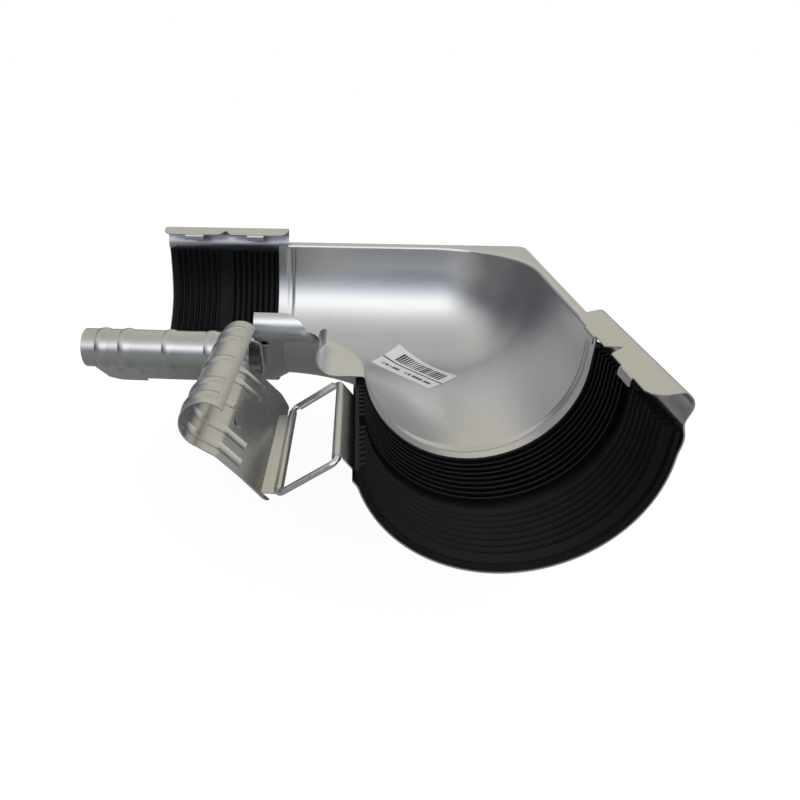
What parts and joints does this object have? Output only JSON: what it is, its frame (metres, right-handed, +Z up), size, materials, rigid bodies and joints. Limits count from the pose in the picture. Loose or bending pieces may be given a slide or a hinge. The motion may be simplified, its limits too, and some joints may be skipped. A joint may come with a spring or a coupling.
{
  "type": "gutter inside miter",
  "caption": "Half-round gutter inside corner with snap joints: rubber-lined bands closed by hinged clips on wire bails.",
  "frame": {"origin": "outer corner of the two straight back edges of the rim flange, on the rim plane", "axes": "arm A runs along -X, arm B along -Y, +Z up; the trough lies below the rim plane"},
  "size_m": [0.3102, 0.2974, 0.1003],
  "materials": {
    "trough_sheet": "galvanised, semi-gloss",
    "band_sheet": "galvanised, semi-gloss",
    "clip_sheet": "galvanised, dull",
    "bail_wire": "bright galvanised wire",
    "seal_rubber": "matt black",
    "label_paper": "matt paper"
  },
  "bodies": {
    "gutter_corner": {"corner_trough": "trough_sheet", "joint_band_a": "band_sheet", "joint_band_b": "band_sheet", "seal_a": "seal_rubber", "seal_b": "seal_rubber", "label": "label_paper"},
    "bail_a_body": {"bail_a": "bail_wire"},
    "clip_a_body": {"clip_a": "clip_sheet"},
    "bail_b_body": {"bail_b": "bail_wire"},
    "clip_b_body": {"clip_b": "clip_sheet"}
  },
  "joints": [
    {"name": "bail_a_hinge", "type": "hinge", "parent": "gutter_corner", "child": "bail_a_body", "pos_m": [-0.24475, -0.1444, -0.0322], "axis": [-1, 0, 0], "range_deg": [0, 85]},
    {"name": "clip_a_hinge", "type": "hinge", "parent": "bail_a_body", "child": "clip_a_body", "pos_m": [-0.24475, -0.12902, -0.06252], "axis": [-1, 0, 0], "range_deg": [-3, 26.7]},
    {"name": "bail_b_hinge", "type": "hinge", "parent": "gutter_corner", "child": "bail_b_body", "pos_m": [-0.1444, -0.24475, -0.0322], "axis": [0, 1, 0], "range_deg": [-70, 42]},
    {"name": "clip_b_hinge", "type": "hinge", "parent": "bail_b_body", "child": "clip_b_body", "pos_m": [-0.17201, -0.24475, -0.05204], "axis": [0, 1, 0], "range_deg": [-30, 65]}
  ]
}
